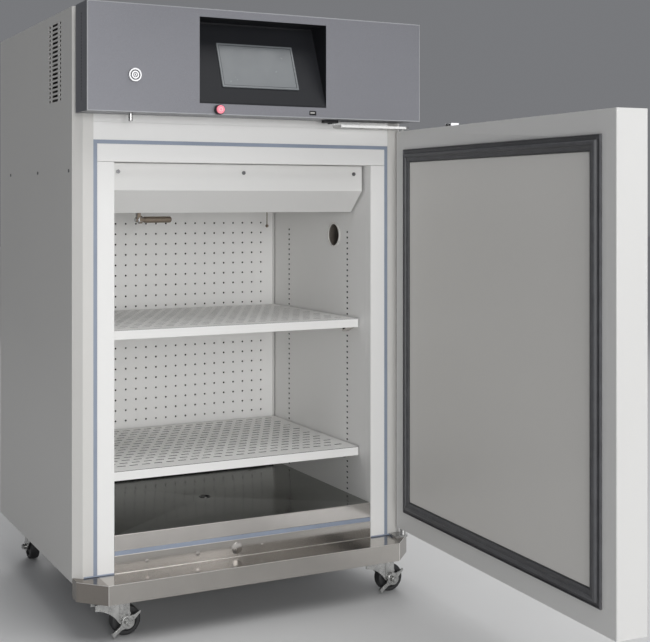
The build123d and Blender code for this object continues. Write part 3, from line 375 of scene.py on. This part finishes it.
# Nodes whose surface differs from the rest of their slot
OWN_MATERIALS = {
    # painted shade: the liner inside the duct, seen through the perforated sheet, is near black
    "chamber_liner": powder_coat("liner_paint", WHITE, 0.40, cloud=0.015, zone=DUCT),
    # painted reflection: the floor behind its front band is darker steel, for the dim surroundings it
    # mirrors
    "chamber_floor": brushed(
        "floor_steel", (0.68, 0.65, 0.62), 0.14, (0.05, 1, 1), 0.000005, 0.12,
        zone=INNER_FLOOR, zone_rgb=(0.27, 0.275, 0.255),
    ),
    # painted shade: the slanted ends of the ledge are darker steel than its front
    "front_ledge": brushed(
        "ledge_steel", (0.30, 0.275, 0.25), 0.14, ALONG_X, 0.000005,
        zone=LEDGE_FRONT, zone_rgb=(0.53, 0.505, 0.475),
    ),
    # painted shade: the cut walls of the shelf slots are darkened, the upper shelf's less
    "shelf_upper": powder_coat("shelf_paint_upper", WHITE, zone=UPPER_SLOTS, shade=0.22),
    "shelf_lower": powder_coat("shelf_paint_lower", WHITE, zone=LOWER_SLOTS),
    "upper_hinge_strap": brushed("strap_steel", (0.62, 0.62, 0.61), 0.3, deep=0.000005, cloud=0.05),
    # painted shade: the lock barrel and the drain fitting are painted dark steel
    "lock_barrel": brushed("barrel_steel_shaded", (0.15, 0.15, 0.155), 0.3, deep=0.00001),
    "drain_fitting": brushed("drain_steel_shaded", (0.16, 0.16, 0.155), 0.3, deep=0.00001),
    "display_recess": powder_coat("recess_paint", (0.016, 0.017, 0.020), 0.5, gloss=0.22),
    # painted shade: the hood is the same white paint, a little darker
    "air_hood": powder_coat("hood_paint_shaded", (0.77, 0.765, 0.75), cloud=0.015),
    # painted shade: the door shell is the white paint made darker
    "door_shell": powder_coat("door_paint_shaded", (0.74, 0.735, 0.72), cloud=0.015),
    # painted shade in the port's bore
    "cable_port": plastic("port_shell", PORT_WHITE, 0.3, zone=PORT_BORE),
    "cabinet_screws": brushed("screw_steel", (0.20, 0.20, 0.205), 0.3, deep=0.00001),
}

# Bright beads along folds, in place of the highlight that a rounded fold catches
STEEL_FOLD_HIGHLIGHT = brushed("fold_highlight_steel", (0.92, 0.89, 0.86), 0.34, deep=0.000004)
BOX_FOLD_HIGHLIGHT = powder_coat("fold_highlight_paint", (0.34, 0.345, 0.36), 0.3, metal=0.6)

# Edge radius of the nodes without rows of small holes, in millimetres
EDGE_RADII = {
    "front_ledge": 1.6,
    "chamber_floor": 1.1,
    "door_shell": 1.2,
    "door_inner_panel": 1.0,
    "air_hood": 0.7,
    "top_cover": 0.6,
    "front_frame": 0.5,
    "thermal_break": 0.8,
    "upper_hinge_strap": 1.2,
    "lower_hinge_bracket": 0.8,
    "door_magnet": 0.6,
    "display_recess": 0.6,
}


def dress_nodes():
    """Gives every CAD node a detailed material, and the nodes in EDGE_RADII rounded edges."""
    for entry in frame["record"]["subparts"]:
        name = entry["node"]
        node = NODES[name]
        node.data.materials.clear()
        node.data.materials.append(OWN_MATERIALS.get(name) or MATERIALS[entry["material_slot"]])
    for name, width in EDGE_RADII.items():
        weld = NODES[name].modifiers.new("weld", "WELD")
        weld.merge_threshold = 0.00001
        soften(NODES[name], width / 1000)


# --- Building pieces -----------------------------------------------------------------------
def turned(name, profile, segments=32):
    """A solid of revolution about local Z from (radius, height) points in millimetres."""
    bm = bmesh.new()
    rings = []
    for radius, height in profile:
        if radius == 0:
            rings.append([bm.verts.new((0, 0, height / 1000))])
            continue
        ring = []
        for i in range(segments):
            angle = 2 * math.pi * i / segments
            x = radius / 1000 * math.cos(angle)
            y = radius / 1000 * math.sin(angle)
            ring.append(bm.verts.new((x, y, height / 1000)))
        rings.append(ring)
    for low, high in zip(rings, rings[1:]):
        for i in range(segments):
            j = (i + 1) % segments
            corners = [low[i % len(low)], low[j % len(low)], high[j % len(high)], high[i % len(high)]]
            corners = list(dict.fromkeys(corners))
            if len(corners) > 2:
                bm.faces.new(corners)
    return mesh_object(name, bm)


def ring_profile(inner, outer, height, round_off):
    """The closed (radius, height) outline of a flat ring with rounded outer corners."""
    return [
        (inner, 0),
        (inner, height - round_off),
        (inner + round_off, height),
        (outer - round_off, height),
        (outer, height - round_off),
        (outer, 0),
        (inner, 0),
    ]


def mitred_frame(name, outer, profile):
    """A rectangular ring in the XZ plane: profile points are (inset, height towards +Y) in metres."""
    x0, x1, z0, z1 = outer
    bm = bmesh.new()
    loops = []
    for inset, y in profile:
        left, right, bottom, top = x0 + inset, x1 - inset, z0 + inset, z1 - inset
        corners = ((left, bottom), (right, bottom), (right, top), (left, top))
        loops.append([bm.verts.new((x, y, z)) for x, z in corners])
    for first, second in zip(loops, loops[1:] + loops[:1]):
        for i in range(4):
            j = (i + 1) % 4
            bm.faces.new((first[i], first[j], second[j], second[i]))
    return mesh_object(name, bm)


def beam(name, low, high):
    """A block between two corners, with sharp edges."""
    bm = bmesh.new()
    bmesh.ops.create_cube(bm, size=1.0)
    for vertex in bm.verts:
        vertex.co = Vector([high[i] if vertex.co[i] > 0 else low[i] for i in range(3)])
    return mesh_object(name, bm)


def twist(first, second):
    """How many corners the second ring is turned for the shortest way from the first."""
    count = len(first)

    def way(turn):
        return sum((first[t].co - second[(t + turn) % count].co).length for t in range(count))

    return min(range(count), key=way)


def wire(name, points, radius, sides=8):
    """A thin bead that follows a line of points, in metres."""
    points = [Vector(p) for p in points]
    bm = bmesh.new()
    rings = []
    for i, point in enumerate(points):
        along = (points[min(i + 1, len(points) - 1)] - points[max(i - 1, 0)]).normalized()
        side = along.orthogonal().normalized()
        third = along.cross(side)
        ring = []
        for t in range(sides):
            angle = 2 * math.pi * t / sides
            ring.append(bm.verts.new(point + radius * (math.cos(angle) * side + math.sin(angle) * third)))
        rings.append(ring)
    for first, second in zip(rings, rings[1:]):
        turn = twist(first, second)
        for t in range(sides):
            a, b = (t + turn) % sides, (t + 1 + turn) % sides
            bm.faces.new((first[t], first[(t + 1) % sides], second[b], second[a]))
    bm.faces.new(rings[0])
    bm.faces.new(rings[-1])
    return mesh_object(name, bm)


def soften(obj, width, segments=2):
    """Rounds the edges of a piece."""
    bevel = obj.modifiers.new("edges", "BEVEL")
    bevel.width = width
    bevel.segments = segments
    bevel.limit_method = "ANGLE"
    bevel.angle_limit = math.radians(35)
    bevel.harden_normals = True
    return obj


def smooth(obj):
    """Smooth shading, with sharp edges kept."""
    with bpy.context.temp_override(object=obj, active_object=obj, selected_editable_objects=[obj]):
        bpy.ops.object.shade_smooth_by_angle(angle=math.radians(35))


def finish_piece(obj, body, slot, stands_for=(), material=None):
    """Material (by slot, unless one is given), smooth shading and body of a piece; hides the nodes it
    stands for.
    """
    obj.data.materials.append(material or MATERIALS[slot])
    smooth(obj)
    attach(obj, body)
    if stands_for:
        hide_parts(*stands_for)


def aim(obj, place, direction):
    """Moves a piece drawn along +Z so that it stands at place and points along direction."""
    turn = Vector((0, 0, 1)).rotation_difference(Vector(direction)).to_matrix().to_4x4()
    obj.data.transform(Matrix.Translation(place) @ turn)
    return obj


def joint_named(name):
    """One joint of the frame."""
    return next(joint for joint in frame["joints"] if joint["name"] == name)


DOOR_JOINT = joint_named("door_hinge")
PIVOT = Vector(DOOR_JOINT["pos_m"])
REST_TURN = -math.radians(DOOR_JOINT["range_deg"][0])
DOOR_TURN = (
    Matrix.Translation(PIVOT) @ Matrix.Rotation(REST_TURN, 4, "Z") @ Matrix.Translation(-PIVOT)
)


def on_door(obj):
    """Turns a piece drawn on the closed door to the door's stored position."""
    obj.data.transform(DOOR_TURN)
    return obj


def closed_box(node):
    """A door node's lowest and highest corners with the door closed."""
    back = DOOR_TURN.inverted()
    points = [back @ v.co for v in NODES[node].data.vertices]
    low = Vector([min(p[i] for p in points) for i in range(3)])
    high = Vector([max(p[i] for p in points) for i in range(3)])
    return low, high


# --- Pieces --------------------------------------------------------------------------------
FORWARD = (0, -1, 0)
DOWN = (0, 0, -1)


def gasket():
    """Magnetic door gasket: outer lip, hollow sealing bead and inner base strip."""
    low, high = closed_box("door_gasket")
    section = (
        (0, 0), (0, 4.0), (0.6, 4.8), (1.5, 4.8), (2.1, 4.0), (2.3, 2.2), (8.2, 2.2), (9.0, 4.0),
        (9.8, 7.2), (11.0, 8.8), (12.6, 9.4), (15.6, 9.4), (17.2, 8.6), (18.0, 6.4), (19.2, 5.6),
        (25.2, 5.7), (26.0, 5.0), (26.3, 2.4), (28, 2.2), (28, 0),
    )
    profile = [(inset / 1000, low.y + rise / 1000) for inset, rise in section]
    ring = mitred_frame("gasket_profile", (low.x, high.x, low.z, high.z), profile)
    finish_piece(on_door(ring), "door", "gasket", ["door_gasket"])


def hex_head(name, across, height):
    """A hexagon head with a chamfered top, and its washer; sizes in millimetres."""
    r = across / 2 / math.cos(math.pi / 6)
    washer = turned(name + "_washer", [(0, 0), (r * 1.25, 0), (r * 1.25, 1.0), (0, 1.0)], 24)
    head = turned(name, [(0, 0.9), (r, 0.9), (r, height - 0.8), (r * 0.86, height), (0, height)], 6)
    return head, washer


def caster_bolts():
    """Four bolts under each caster plate, and the nuts on each axle."""
    corners = ((-1, -1), (1, -1), (1, 1), (-1, 1))
    for joint in frame["joints"]:
        if joint["name"].endswith("_swivel"):
            x, y, _ = joint["pos_m"]
            for i, (dx, dy) in enumerate(corners):
                place = (x + dx * PLATE_BOLT, y + dy * PLATE_BOLT, PLATE_BOLT_Z)
                for part in hex_head(f"{joint['child']}_bolt_{i}", 8.0, 5.0):
                    finish_piece(aim(part, place, DOWN), "cabinet", "zinc")
        if joint["name"].endswith("_roll"):
            axle = Vector(joint["axis"])
            outer = BRAKED_AXLE_NUT if "front" in joint["name"] else AXLE_NUT
            for end, direction, reach in (("in", axle, AXLE_NUT), ("out", -axle, outer)):
                place = Vector(joint["pos_m"]) + direction * reach
                for part in hex_head(f"{joint['child']}_nut_{end}", 10.0, 5.5):
                    finish_piece(aim(part, place, direction), joint["parent"], "zinc")


def strap_screws():
    """Countersunk screws through the upper hinge strap, seen from below."""
    low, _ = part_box("upper_hinge_strap")
    outline = [(0, 0), (1.2, 0), (1.6, 0.9), (3.6, 0.9), (4.6, 0.0), (5.0, -0.4), (0, -0.4)]
    for i, offset in enumerate(STRAP_SCREWS):
        screw = turned(f"strap_screw_{i}", outline)
        aim(screw, (low.x + offset, STRAP_SCREW_Y, STRAP_SCREW_Z), DOWN)
        finish_piece(screw, "cabinet", "zinc")


def sealant():
    """Bead of sealant at the foot of each upright, where it meets the ledge."""
    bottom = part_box("front_frame")[0].z
    inner, outer = SEALANT
    for name, x0, x1 in (("left", -outer, -inner), ("right", inner, outer)):
        bead = beam(f"sealant_{name}", (x0, -0.0022, bottom), (x1, 0.0006, bottom + 0.0030))
        finish_piece(soften(bead, 0.0014, 3), "cabinet", "strip")


def box_edges():
    """Painted highlight: a brighter bead round the front of the control box, for the light its rounded
    fold catches.
    """
    low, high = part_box("control_box")
    section = ((-0.25, 2.0), (-0.25, 0.4), (0.4, -0.25), (1.8, -0.25), (1.8, 0.4), (0.4, 2.0))
    profile = [(inset / 1000, low.y + depth / 1000) for inset, depth in section]
    ring = mitred_frame("box_fold_highlight", (low.x, high.x, low.z, high.z), profile)
    finish_piece(ring, "cabinet", "box_paint", material=BOX_FOLD_HIGHLIGHT)


def across_sill(y, z):
    """The two ends of a line along the sill."""
    return [(-SILL_HALF, y, z), (SILL_HALF, y, z)]


def steel_folds():
    """Painted highlights: bright beads along the folds of the ledge and the sill."""
    low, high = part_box("front_ledge")
    front, back = low.y + 0.0002, low.y + 0.050
    outline = [(low.x, back), (-LEDGE_CORNER, front), (LEDGE_CORNER, front), (high.x, back)]
    lines = {
        "ledge_fold_top": [(x, y, LEDGE_TOP - 0.0003) for x, y in outline],
        "ledge_fold_left": [(-LEDGE_CORNER, front, low.z), (-LEDGE_CORNER, front, LEDGE_TOP)],
        "ledge_fold_right": [(LEDGE_CORNER, front, low.z), (LEDGE_CORNER, front, LEDGE_TOP)],
        "band_seam_highlight": across_sill(-0.0001, LEDGE_TOP + 0.0003),
        "band_fold": across_sill(0.0002, BAND_TOP),
        "sill_fold": across_sill(0.0003, SILL_TOP),
    }
    for name, points in lines.items():
        finish_piece(wire(name, points, 0.0006), "cabinet", "stainless", material=STEEL_FOLD_HIGHLIGHT)


def lock_face():
    """Chrome rose, gap and keyway of the lock on the control box; the gap and keyway are black pieces
    painted as shade.
    """
    x, _, z = joint_named("lock_turn")["pos_m"]
    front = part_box("lock_body")[0].y
    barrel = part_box("lock_barrel")[0].y
    for name, y, sizes, body, slot in (
        ("lock_rose", front, (9.4, 13.3, 1.3, 0.6), "cabinet", "chrome"),
        # painted shadow: a black ring under the chrome rose
        ("lock_gap", front, (8.1, 9.4, 0.25, 0.1), "cabinet", "black"),
        ("lock_barrel_rim", barrel, (4.6, 7.9, 0.8, 0.35), "lock_barrel", "chrome"),
    ):
        ring = turned(name, ring_profile(*sizes), 48)
        finish_piece(aim(ring, (x, y, z), FORWARD), body, slot)
    plate = turned("lock_key_plate", [(0, 0), (4.4, 0), (4.0, 0.5), (0, 0.5)], 4)
    finish_piece(aim(plate, (x, barrel, z), FORWARD), "lock_barrel", "chrome")
    # painted shade: a black diamond stands for the shade in the keyway
    key = turned("lock_keyway", [(0, 0.4), (2.3, 0.4), (2.2, 0.6), (0, 0.6)], 4)
    key.data.transform(Matrix.Diagonal((0.6, 1.2, 1, 1)))
    finish_piece(aim(key, (x, barrel, z), FORWARD), "lock_barrel", "black")


def power_symbol():
    """A paler ring in the face of the power button, which shines with painted light."""
    low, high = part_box("power_button")
    centre = (low + high) / 2
    mark = turned("button_mark", ring_profile(2.9, 3.7, 0.15, 0.05), 48)
    finish_piece(aim(mark, (centre.x, low.y, centre.z), FORWARD), "power_button", "port_white")


def socket_tongue():
    """White tongue and dark shell lip inside the data socket."""
    low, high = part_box("usb_port")
    x0, x1, z0 = low.x + 0.0026, high.x - 0.0026, (low.z + high.z) / 2
    tongue = beam("usb_tongue", (x0, low.y + 0.0012, z0 - 0.0006), (x1, low.y + 0.012, z0 + 0.0019))
    finish_piece(soften(tongue, 0.0003), "cabinet", "port_white")
    shell = mitred_frame(
        "usb_shell",
        (low.x + 0.0012, high.x - 0.0012, low.z + 0.0014, high.z - 0.0014),
        ((0, low.y - 0.0002), (0, low.y + 0.004), (0.0005, low.y + 0.004), (0.0005, low.y - 0.0002)),
    )
    finish_piece(shell, "cabinet", "black")


def screen_plane():
    """The touch screen's front face: its half width, its half height, and the turn to its middle."""
    mesh = NODES["touch_screen"].data
    front = max(mesh.polygons, key=lambda f: f.area if f.normal.y < -0.5 else 0).normal.copy()
    along = Vector((1, 0, 0))
    up = front.cross(along).normalized()
    if up.z < 0:
        up.negate()
    top = max(front.dot(v.co) for v in mesh.vertices)
    spots = [v.co for v in mesh.vertices if front.dot(v.co) > top - 0.0002]
    us = [along.dot(c) for c in spots]
    vs = [up.dot(c) for c in spots]
    centre = along * ((min(us) + max(us)) / 2) + up * ((min(vs) + max(vs)) / 2) + front * top
    place = Matrix((
        (along.x, -front.x, up.x, centre.x),
        (along.y, -front.y, up.y, centre.y),
        (along.z, -front.z, up.z, centre.z),
        (0, 0, 0, 1),
    ))
    return (max(us) - min(us)) / 2, (max(vs) - min(vs)) / 2, place


def screen_frame():
    """Border, dark joint and glass on the touch screen, in the plane of its own front face."""
    half_w, half_h, place = screen_plane()
    pieces = {}
    chamfer = 0.0001
    for name, gap, width, height in (
        ("border", 0.0004, 0.0038, 0.0009),
        ("joint", 0.0042, 0.0009, 0.0002),
    ):
        outer = (-half_w + gap, half_w - gap, -half_h + gap, half_h - gap)
        profile = (
            (0, 0.0),
            (0, chamfer - height),
            (chamfer, -height),
            (width - chamfer, -height),
            (width, 0.0),
        )
        pieces[name] = mitred_frame(f"screen_{name}", outer, profile)
    x, z = half_w - 0.0051, half_h - 0.0051
    pieces["glass"] = beam("screen_glass", (-x, -0.0005, -z), (x, 0, z))
    for name, piece in pieces.items():
        piece.data.transform(place)
        finish_piece(piece, "cabinet", "black" if name == "joint" else "screen")
    soften(pieces["glass"], 0.0002)


def probe_clamp():
    """Compression fitting that holds the control sensor under the hood."""
    low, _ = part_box("temperature_probes")
    nut = turned("probe_nut", [(5.6, 0), (8.6, 0), (8.6, 7.4), (7.9, 8), (5.6, 8), (5.6, 0)], 6)
    tail = turned("probe_tail", [(0, 0), (4.2, 0), (4.9, 0.8), (4.9, 5), (6.4, 5.4), (6.4, 9), (0, 9)])
    post = turned("probe_post", [(0, 0), (4.4, 0), (4.4, 10), (5.6, 10.5), (5.6, 16), (0, 16)])
    for piece, x, z, direction in (
        (nut, low.x + 0.006, PROBE_Z, (1, 0, 0)),
        (tail, low.x - 0.002, PROBE_Z, (1, 0, 0)),
        (post, low.x + 0.005, PROBE_Z + 0.002, (0, 0, 1)),
    ):
        finish_piece(aim(piece, (x, PROBE_Y, z), direction), "cabinet", "chrome")


def sill_dimples():
    """Shallow pressed buttons in the band under the sill, one large and three small."""
    for name, x, radius, rise in (
        ("a", -0.0278, 12.0, 1.1),
        ("b", -0.115, 5.0, 0.3),
        ("c", -0.2247, 4.0, 0.3),
        ("d", 0.030, 3.0, 0.2),
    ):
        turns = [t * math.pi / 20 for t in range(1, 11)]
        dome = [(radius * math.sin(t), rise * math.cos(t) ** 2) for t in turns]
        button = turned(f"sill_button_{name}", [(0, rise)] + dome)
        finish_piece(aim(button, (x, 0.0, BAND_MIDDLE), FORWARD), "cabinet", "stainless")


def magnet_screws():
    """Two dark screws in the magnet block on the door's top edge."""
    low, high = closed_box("door_magnet")
    outline = [(0, 0), (2.5, 0), (2.3, 0.8), (1.1, 1.1), (1.0, 0.5), (0, 0.5)]
    for i, share in enumerate((0.28, 0.68)):
        head = turned(f"magnet_screw_{i}", outline, 24)
        x = low.x + share * (high.x - low.x)
        aim(head, (x, high.y, (low.z + high.z) / 2), (0, 1, 0))
        finish_piece(on_door(head), "door", "black")


# --- Stage ---------------------------------------------------------------------------------
def pale_floor():
    """A plain pale floor."""
    bm = bmesh.new()
    bmesh.ops.create_grid(bm, x_segments=1, y_segments=1, size=20)
    floor = mesh_object("floor", bm)
    pale = Nodes("floor_pale")
    pale.set(roughness=0.7)
    tone = pale.colour(pale.noise(scale=3.0, detail=4.0), (0.77, 0.77, 0.765), (0.80, 0.80, 0.795))
    floor.data.materials.append(pale.finish(tone))


def studio_light():
    """Dim sky and five soft lamps: name, place, target, width and height, power in watts."""
    world = bpy.data.worlds.new("studio")
    bpy.context.scene.world = world
    world.use_nodes = True
    background = world.node_tree.nodes["Background"]
    background.inputs["Color"].default_value = (0.93, 0.95, 1.0, 1)
    background.inputs["Strength"].default_value = 0.2
    for name, place, target, size, power in (
        ("key", (-1.5, -8.4, 1.9), (0, 0, 0.6), (3.4, 3.4), 166),
        ("low_key", (-1.4, -8.0, 0.9), (0, 0.3, 0.6), (2.4, 2.4), 100),
        ("right", (3.2, -6.4, 1.3), (0.2, 0, 1.0), (4.6, 1.8), 54),
        ("top", (0.7, -1.6, 4.0), (0.2, -0.6, 0.0), (4.0, 2.6), 84),
        ("back", (1.5, 4.2, 2.2), (0, 0.2, 0.6), (2.6, 2.6), 45),
    ):
        data = bpy.data.lights.new(name, "AREA")
        data.shape = "RECTANGLE"
        data.size, data.size_y = size
        data.energy = power
        lamp = link(bpy.data.objects.new(name, data))
        lamp.location = place
        lamp.rotation_euler = (Vector(target) - Vector(place)).to_track_quat("-Z", "Y").to_euler()


def camera():
    """A level camera in front of the cabinet, to its left."""
    data = bpy.data.cameras.new("camera")
    data.lens = LENS
    data.sensor_width = SENSOR
    data.shift_x, data.shift_y = SHIFT
    data.clip_start, data.clip_end = 0.05, 60
    eye = link(bpy.data.objects.new("camera", data))
    eye.location = CAMERA_AT
    eye.rotation_euler = (math.pi / 2, 0, -CAMERA_YAW)
    bpy.context.scene.camera = eye
    bpy.context.scene.view_settings.view_transform = "Standard"


dress_nodes()
gasket()
caster_bolts()
strap_screws()
sealant()
box_edges()
steel_folds()
lock_face()
power_symbol()
socket_tongue()
screen_frame()
probe_clamp()
sill_dimples()
magnet_screws()
pale_floor()
studio_light()
camera()
